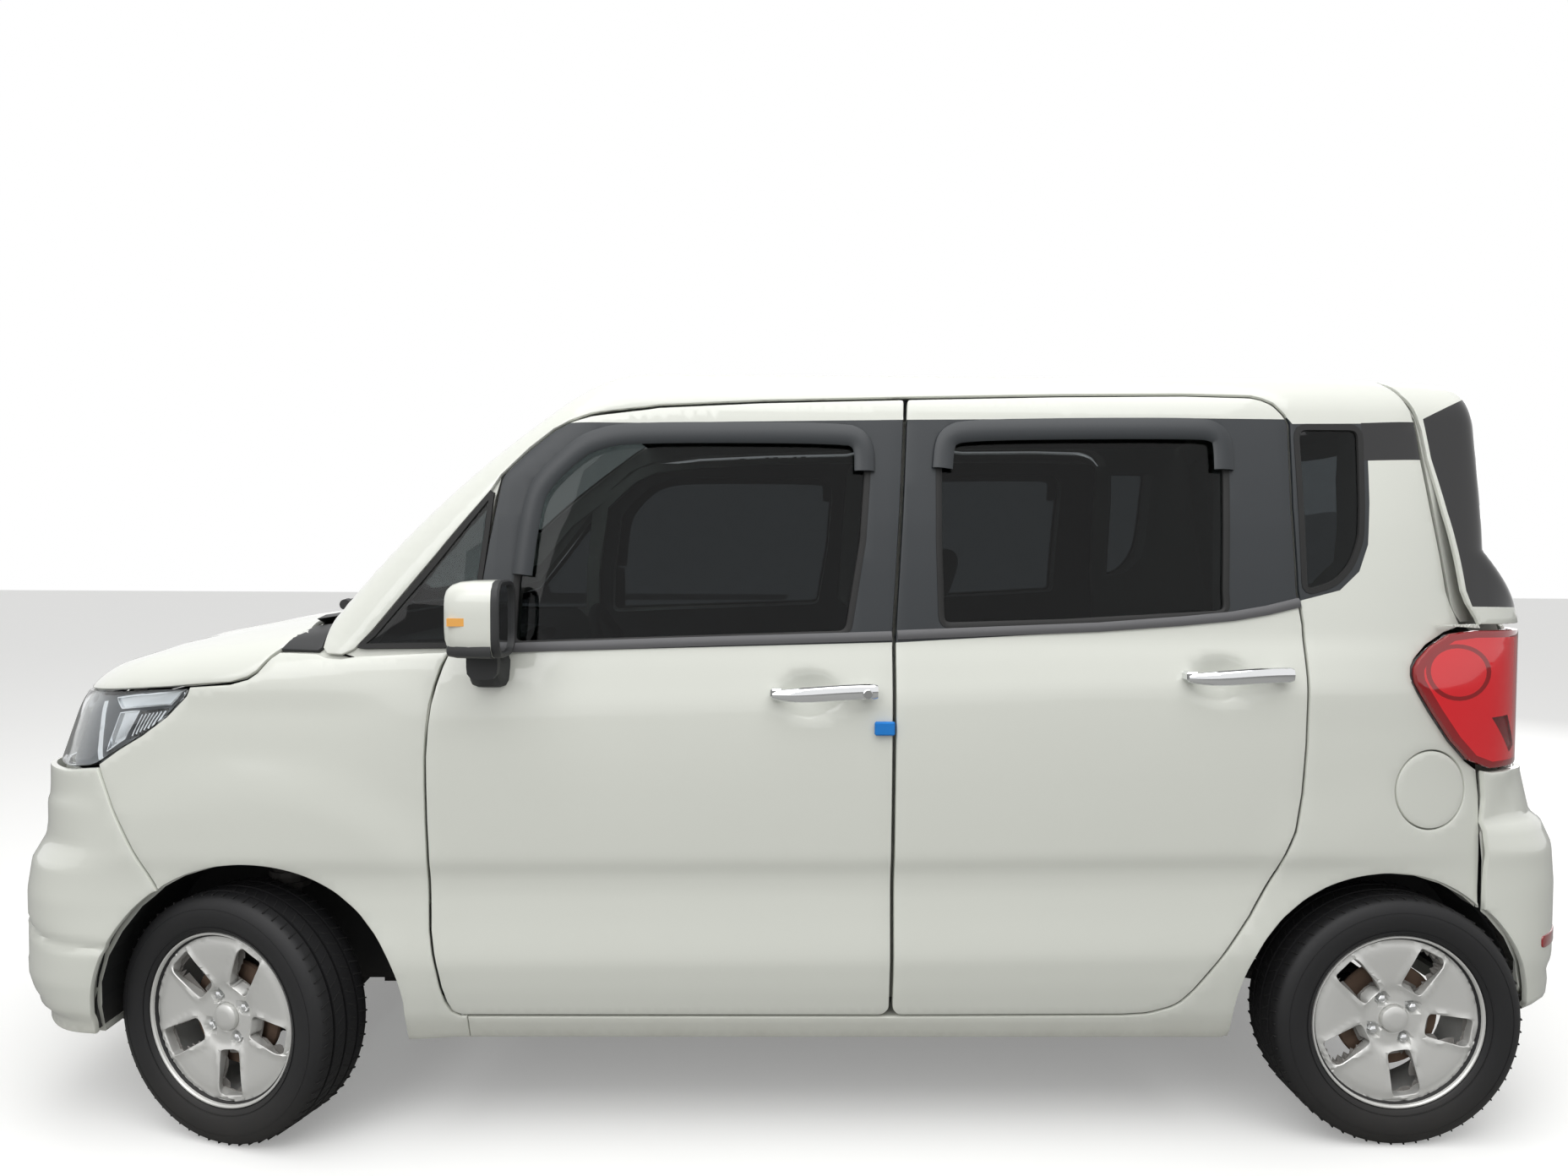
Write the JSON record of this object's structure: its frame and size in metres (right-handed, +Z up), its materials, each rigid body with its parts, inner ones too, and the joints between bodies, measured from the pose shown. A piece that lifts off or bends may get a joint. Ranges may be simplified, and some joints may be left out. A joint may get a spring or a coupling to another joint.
{
  "type": "light box car",
  "caption": "Tall light box car: hinged doors, tailgate and bonnet, steered front wheels and a hollow cabin with seats.",
  "frame": {"origin": "on the floor under the centre of the body's overall box", "axes": "+X points to the rear, -Y to the car's left side, +Z up"},
  "size_m": [3.595, 1.89, 1.7],
  "materials": {
    "body_paint": "gloss warm white paint, lightly dusty",
    "underbody": "satin black underbody coating",
    "exhaust_steel": "dull stainless steel",
    "dark_plastic": "grained black plastic",
    "lamp_clear": "clear lens over bright reflector",
    "lamp_red": "red lens",
    "dark_glass": "dark tinted glass",
    "seat_fabric": "dark woven seat cloth",
    "engine_metal": "plain block standing for engine and gearbox",
    "cast_metal": "dark cast iron",
    "tyre_rubber": "black rubber",
    "alloy": "silver cast alloy"
  },
  "bodies": {
    "chassis": {"floor_pan": "underbody", "side_frame_left": "body_paint", "side_frame_right": "body_paint", "roof_panel": "body_paint", "cowl": "dark_plastic", "fender_left": "body_paint", "fender_right": "body_paint", "wheel_liners_left": "dark_plastic", "wheel_liners_right": "dark_plastic", "front_bumper": "body_paint", "rear_bumper": "body_paint", "grille": "dark_plastic", "headlamp_left": "lamp_clear", "headlamp_right": "lamp_clear", "tail_lamp_left": "lamp_red", "tail_lamp_right": "lamp_red", "windscreen": "dark_glass", "fixed_glass_left": "dark_glass", "fixed_glass_right": "dark_glass", "dashboard": "dark_plastic", "driver_seat": "seat_fabric", "passenger_seat": "seat_fabric", "rear_bench": "seat_fabric", "engine_block": "engine_metal", "front_subframe": "underbody", "rear_axle_beam": "underbody", "exhaust": "exhaust_steel", "fuel_tank": "underbody"},
    "door_front_left": {"door_front_left": "body_paint", "door_glass_front_left": "dark_glass", "mirror_left": "dark_plastic"},
    "door_rear_left": {"door_rear_left": "body_paint", "door_glass_rear_left": "dark_glass"},
    "knuckle_left": {"knuckle_left": "cast_metal"},
    "wheel_front_left": {"tyre_front_left": "tyre_rubber", "rim_front_left": "alloy"},
    "wheel_rear_left": {"tyre_rear_left": "tyre_rubber", "rim_rear_left": "alloy"},
    "door_front_right": {"door_front_right": "body_paint", "door_glass_front_right": "dark_glass", "mirror_right": "dark_plastic"},
    "door_rear_right": {"door_rear_right": "body_paint", "door_glass_rear_right": "dark_glass"},
    "knuckle_right": {"knuckle_right": "cast_metal"},
    "wheel_front_right": {"tyre_front_right": "tyre_rubber", "rim_front_right": "alloy"},
    "wheel_rear_right": {"tyre_rear_right": "tyre_rubber", "rim_rear_right": "alloy"},
    "tailgate": {"tailgate": "body_paint", "tailgate_glass": "dark_glass"},
    "bonnet": {"bonnet": "body_paint"},
    "fuel_flap": {"fuel_flap": "body_paint"},
    "steering_wheel": {"steering_wheel": "dark_plastic"}
  },
  "joints": [
    {"name": "door_front_left_hinge", "type": "hinge", "parent": "chassis", "child": "door_front_left", "pos_m": [-0.7655, -0.7985, 0.8], "axis": [0, 0, -1], "range_deg": [0, 65]},
    {"name": "door_rear_left_hinge", "type": "hinge", "parent": "chassis", "child": "door_rear_left", "pos_m": [0.233, -0.7985, 0.8], "axis": [0, 0, -1], "range_deg": [0, 70]},
    {"name": "steer_left", "type": "hinge", "parent": "chassis", "child": "knuckle_left", "pos_m": [-1.1825, -0.669, 0.272], "axis": [0, 0, 1], "range_deg": [-18, 54]},
    {"name": "spin_front_left", "type": "hinge", "parent": "knuckle_left", "child": "wheel_front_left", "pos_m": [-1.19332, -0.70229, 0.272], "axis": [0.309, 0.9511, 0], "continuous": true},
    {"name": "spin_rear_left", "type": "hinge", "parent": "chassis", "child": "wheel_rear_left", "pos_m": [1.3375, -0.704, 0.272], "axis": [0, 1, 0], "continuous": true},
    {"name": "door_front_right_hinge", "type": "hinge", "parent": "chassis", "child": "door_front_right", "pos_m": [-0.7655, 0.7985, 0.8], "axis": [0, 0, 1], "range_deg": [0, 65]},
    {"name": "door_rear_right_hinge", "type": "hinge", "parent": "chassis", "child": "door_rear_right", "pos_m": [0.233, 0.7985, 0.8], "axis": [0, 0, 1], "range_deg": [0, 70]},
    {"name": "steer_right", "type": "hinge", "parent": "chassis", "child": "knuckle_right", "pos_m": [-1.1825, 0.669, 0.272], "axis": [0, 0, 1], "range_deg": [-18, 54]},
    {"name": "spin_front_right", "type": "hinge", "parent": "knuckle_right", "child": "wheel_front_right", "pos_m": [-1.17168, 0.70229, 0.272], "axis": [0.309, 0.9511, 0], "continuous": true},
    {"name": "spin_rear_right", "type": "hinge", "parent": "chassis", "child": "wheel_rear_right", "pos_m": [1.3375, 0.704, 0.272], "axis": [0, 1, 0], "continuous": true},
    {"name": "tailgate_hinge", "type": "hinge", "parent": "chassis", "child": "tailgate", "pos_m": [1.347, 0, 1.6955], "axis": [0, -1, 0], "range_deg": [0, 78]},
    {"name": "bonnet_hinge", "type": "hinge", "parent": "chassis", "child": "bonnet", "pos_m": [-1.0545, 0, 1.151], "axis": [0, 1, 0], "range_deg": [0, 55]},
    {"name": "fuel_flap_hinge", "type": "hinge", "parent": "chassis", "child": "fuel_flap", "pos_m": [1.313, -0.7985, 0.78], "axis": [0, 0, -1], "range_deg": [0, 85]},
    {"name": "steering_wheel_turn", "type": "hinge", "parent": "chassis", "child": "steering_wheel", "pos_m": [-0.39, -0.355, 0.985], "axis": [0.8829, 0, 0.4695], "range_deg": [-270, 810]}
  ],
  "couplings": [
    {"joint": "steer_right", "follows": "steer_left", "ratio": 1},
    {"joint": "steering_wheel_turn", "follows": "steer_left", "ratio": 15}
  ]
}
